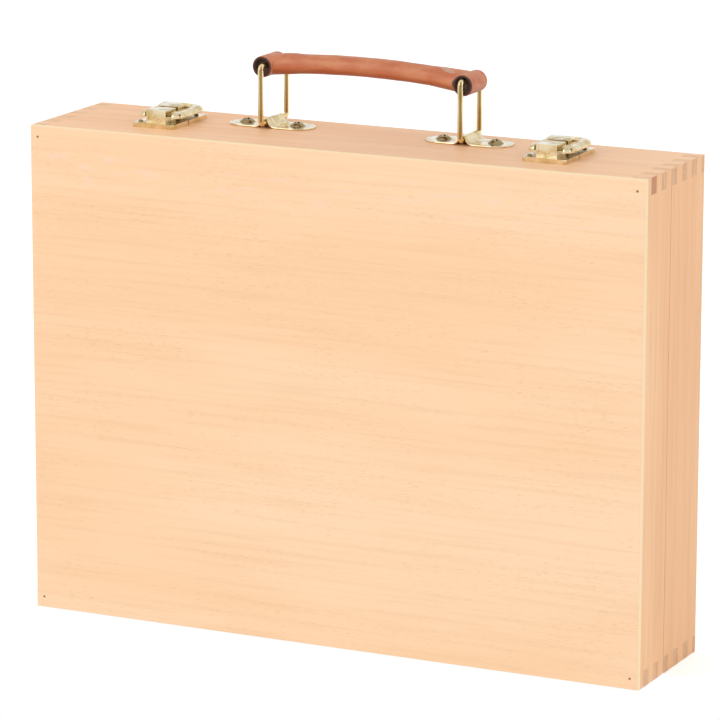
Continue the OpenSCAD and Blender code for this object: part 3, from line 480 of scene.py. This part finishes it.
# the pale lens-shaped mark near the right end, which slopes down to the right: partly the pale lining showing
# where the seam ends, partly a painted glint on the crease
slitX = maths(tree, "SUBTRACT", (-1000, -1500), split.outputs["X"], gripLook["slitAt"][0])
slitZ = maths(tree, "SUBTRACT", (-1000, -1600), split.outputs["Z"], gripLook["slitAt"][1])
slitZ = maths(tree, "ADD", (-800, -1600), slitZ, maths(tree, "MULTIPLY", (-900, -1500), slitX, 0.155))
lensX = maths(tree, "POWER", (-600, -1500), maths(tree, "DIVIDE", (-700, -1500), slitX, 5.6 * mm), 2)
lensZ = maths(tree, "POWER", (-600, -1700), maths(tree, "DIVIDE", (-700, -1700), slitZ, 0.6 * mm), 2)
lens = ramp(tree, (-400, -1500), maths(tree, "ADD", (-500, -1600), lensX, lensZ), 1.0, 0.6)
lens = maths(tree, "MULTIPLY", (-200, -1500), lens,
             ramp(tree, (-400, -1700), facing.outputs["Y"], -0.1, -0.3))
skin = mixColor(tree, (300, 300), maths(tree, "MULTIPLY", (0, -1500), lens, 0.6), skin,
                linear(*gripLook["slitAndGlint"]))
tree.links.new(skin, bsdf.inputs["Base Color"])
shine = maths(tree, "ADD", (200, -100), maths(tree, "MULTIPLY", (0, -100), mottle, 0.25), 0.30)
dull = maths(tree, "MULTIPLY", (200, -300), maths(tree, "MAXIMUM", (0, -300), inside, cutFace), 0.4)
tree.links.new(maths(tree, "ADD", (400, -100), shine, dull, clamp=True), bsdf.inputs["Roughness"])
bsdf.inputs["Specular IOR Level"].default_value = 0.45
pebbles = maths(tree, "MULTIPLY", (0, 900), pebble.outputs["Distance"], 0.6)
skinHeight = maths(tree, "ADD", (200, 900), pebbles, creases)
bump(tree, (600, 600), skinHeight, 0.35, 0.00025, bsdf)

lining, tree, bsdf, coords = newMaterial("rawLining")
fibre = stretchedNoise(tree, (-900, 300), coords.outputs["Object"], (1400, 300, 1400), 4, 0.6)
rawTint = mixColor(tree, (-300, 300), ramp(tree, (-600, 300), fibre, 0.35, 0.7), linear(58, 42, 38),
                   linear(128, 98, 82))
tree.links.new(rawTint, bsdf.inputs["Base Color"])
roughFibre = maths(tree, "ADD", (-300, 0), maths(tree, "MULTIPLY", (-500, 0), fibre, 0.2), 0.7)
tree.links.new(roughFibre, bsdf.inputs["Roughness"])
bump(tree, (600, -300), fibre, 0.7, 0.0005, bsdf)
print("materials ready")


# Finishes and edge softening of the CAD pieces

slotFinish = {
    "panel_plywood": (boards["panelBeech"], 0), "level_boards": (boards["levelBeech"], 0.12),
    "side_boards": (boards["uprightBeech"], 0.12), "slats": (boards["slatBeech"], 0.4),
    "brads": (metals["darkSteel"], 0), "pressed_brass": (metals["pressedBrass"], 0.3),
    "screw_brass": (metals["screwBrass"], 0), "hinge_brass": (metals["hingeBrass"], 0.1),
    "loop_wire": (metals["wireBrass"], 0), "grip_leather": (leather, 0), "bush_leather": (lining, 0.2),
    "core_cord": (lining, 0),
}
for part in frame["record"]["subparts"]:
    piece = nodes[part["node"]]
    material, softness = slotFinish[part["material_slot"]]
    if "cross_slat" in part["node"]:
        material = boards["uprightBeech"]
    piece.data.materials.clear()
    piece.data.materials.append(material)
    if softness:
        weld = piece.modifiers.new("weld", "WELD")
        weld.merge_threshold = 0.00001
        bevel = piece.modifiers.new("softEdges", "BEVEL")
        bevel.width = softness * mm
        bevel.segments = 2
        bevel.limit_method = "ANGLE"
        bevel.angle_limit = math.radians(32)
        bevel.harden_normals = False
print("CAD pieces dressed")


# The leather grip: a stuffed body that flares into two rolled ends

grip = {"y": 17.9, "left": (-66.6, 321.2), "right": (58.6, 319.8), "rise": 3.4,
        "halfHeight": 5.6, "halfWidth": 6.4, "rollRadius": 6.15, "rollLength": 21.0, "rollRound": 0.7,
        "flare": (16.0, 27.0), "swell": (0.35, 0.8), "bore": 4.95, "steps": 30, "voxel": 0.42,
        "bulge": (-53, 7, 0.45)}
# Places along X in mm, angles in degrees above the front
seam = {"angle": 47, "climb": 13, "climbFrom": 22, "climbOver": 22, "depth": 0.32, "width": 0.55, "lap": 0.16,
        "start": -60, "end": 48}
slackFold = {"at": (46.5, 61), "size": (5.4, 7), "slope": -1.2, "depth": 0.6}
dimpleAt = {"at": (36, 60), "size": (8, 22), "depth": 0.25}


def gripSpine(share):
    (leftX, leftZ), (rightX, rightZ) = grip["left"], grip["right"]
    arch = 4 * grip["rise"] * share * (1 - share)
    return leftX + share * (rightX - leftX), leftZ + share * (rightZ - leftZ) + arch


def gripSection(share):
    x, z = gripSpine(share)
    end = 0 if share < 0.5 else 1
    nearest = min(x - grip["left"][0], grip["right"][0] - x)
    flare = max(0, 1 - nearest / grip["flare"][end])
    flare = flare * flare * (3 - 2 * flare)
    at, spread, lift = grip["bulge"]
    bulge = lift * math.exp(-((x - at) / spread) ** 2)
    wave = 0.10 * math.sin(x * 0.19) + 0.07 * math.sin(x * 0.47 + 1)
    width = grip["halfWidth"] + flare * (grip["rollLength"] / 2 - grip["halfWidth"]) + wave
    return x, z + bulge / 2, grip["halfHeight"] + bulge + grip["swell"][end] * flare + 0.5 * wave, width


x, z, tall, wide = gripSection(0)
bpy.ops.object.select_all(action="DESELECT")
bpy.ops.mesh.primitive_circle_add(vertices=56, radius=mm, fill_type="NGON", rotation=(0, math.pi / 2, 0),
                                  location=(x * mm, grip["y"] * mm, z * mm))
leatherGrip = bpy.context.object
leatherGrip.name = "leather_grip"
bpy.ops.object.transform_apply(location=True, rotation=True, scale=True)
bpy.ops.object.mode_set(mode="EDIT")
bpy.ops.mesh.select_all(action="SELECT")
bpy.ops.transform.resize(value=(1, wide, tall), center_override=(x * mm, grip["y"] * mm, z * mm))
for i in range(1, grip["steps"] + 1):
    nextX, nextZ, nextTall, nextWide = gripSection(i / grip["steps"])
    bpy.ops.mesh.extrude_region_move(
        TRANSFORM_OT_translate={"value": ((nextX - x) * mm, 0, (nextZ - z) * mm)})
    bpy.ops.transform.resize(value=(1, nextWide / wide, nextTall / tall),
                             center_override=(nextX * mm, grip["y"] * mm, nextZ * mm))
    x, z, tall, wide = nextX, nextZ, nextTall, nextWide
bpy.ops.mesh.select_all(action="SELECT")
bpy.ops.mesh.normals_make_consistent(inside=False)
bpy.ops.object.mode_set(mode="OBJECT")


def gripRoll(end, radius, length, round):
    bpy.ops.object.select_all(action="DESELECT")
    bpy.ops.mesh.primitive_cylinder_add(vertices=64, radius=radius * mm, depth=length * mm,
                                        rotation=(math.pi / 2, 0, 0),
                                        location=(end[0] * mm, grip["y"] * mm, end[1] * mm))
    roll = bpy.context.object
    bpy.ops.object.transform_apply(location=True, rotation=True, scale=True)
    if round:
        bpy.ops.object.mode_set(mode="EDIT")
        bpy.ops.mesh.select_all(action="DESELECT")
        bpy.ops.mesh.select_mode(type="FACE")
        bpy.ops.object.mode_set(mode="OBJECT")
        for face in roll.data.polygons:
            face.select = abs(face.normal.y) > 0.9
        bpy.ops.object.mode_set(mode="EDIT")
        bpy.ops.mesh.bevel(offset=round * mm, segments=3, affect="EDGES")
        bpy.ops.object.mode_set(mode="OBJECT")
    return roll


rolls = [gripRoll(grip[side], grip["rollRadius"], grip["rollLength"], grip["rollRound"])
         for side in ("left", "right")]
only(leatherGrip)
for roll in rolls:
    roll.select_set(True)
bpy.ops.object.join()


def applied(piece, kind, **settings):
    modifier = piece.modifiers.new("step", kind)
    for key, item in settings.items():
        setattr(modifier, key, item)
    only(piece)
    bpy.ops.object.modifier_apply(modifier=modifier.name)


applied(leatherGrip, "REMESH", mode="VOXEL", voxel_size=grip["voxel"] * mm)
applied(leatherGrip, "SMOOTH", factor=0.5, iterations=7)

# the seam along the top front of the grip, and the slack fold that it ends in
points = np.zeros(len(leatherGrip.data.vertices) * 3)
leatherGrip.data.vertices.foreach_get("co", points)
points = points.reshape(-1, 3) / mm
share = (points[:, 0] - grip["left"][0]) / (grip["right"][0] - grip["left"][0])
spineZ = gripSpine(share)[1]
outY, outZ = points[:, 1] - grip["y"], points[:, 2] - spineZ
reach = np.sqrt(outY ** 2 + outZ ** 2)
angle = np.degrees(np.arctan2(outZ, -outY))
alongX = points[:, 0]
seamAngle = seam["angle"] + seam["climb"] * np.clip((alongX - seam["climbFrom"]) / seam["climbOver"], 0, 1)
offset = np.radians(angle - seamAngle) * reach
run = np.clip((alongX - seam["start"]) / 12, 0, 1) * np.clip((seam["end"] - alongX) / 3, 0, 1)
groove = seam["depth"] * np.exp(-(offset / seam["width"]) ** 2) * run
lap = seam["lap"] * np.clip(offset / 0.8, 0, 1) * np.clip((2.6 - offset) / 1.6, 0, 1) * run
foldX = alongX - slackFold["at"][0]
foldAngle = angle - slackFold["at"][1] - slackFold["slope"] * foldX
fold = slackFold["depth"] * np.exp(-(foldX / slackFold["size"][0]) ** 4
                                   - (foldAngle / slackFold["size"][1]) ** 2)
fold *= outY < 0
dimple = dimpleAt["depth"] * np.exp(-((alongX - dimpleAt["at"][0]) / dimpleAt["size"][0]) ** 2
                                    - ((angle - dimpleAt["at"][1]) / dimpleAt["size"][1]) ** 2)
dent = (groove - lap + fold + dimple)[:, None] * np.stack([0 * outY, outY / reach, outZ / reach], 1)
leatherGrip.data.vertices.foreach_set("co", ((points - dent) * mm).ravel())
leatherGrip.data.update()
for side in ("left", "right"):
    cutter = gripRoll(grip[side], grip["bore"], grip["rollLength"] + 6, 0)
    applied(leatherGrip, "BOOLEAN", operation="DIFFERENCE", object=cutter, solver="EXACT")
    bpy.data.objects.remove(cutter)
only(leatherGrip)
bpy.ops.object.shade_smooth_by_angle(angle=math.radians(40))
leatherGrip.data.materials.clear()
leatherGrip.data.materials.append(leather)
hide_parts("grip_cover", "grip_core")
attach(leatherGrip, "grip")
print("grip made:", len(leatherGrip.data.polygons), "faces")
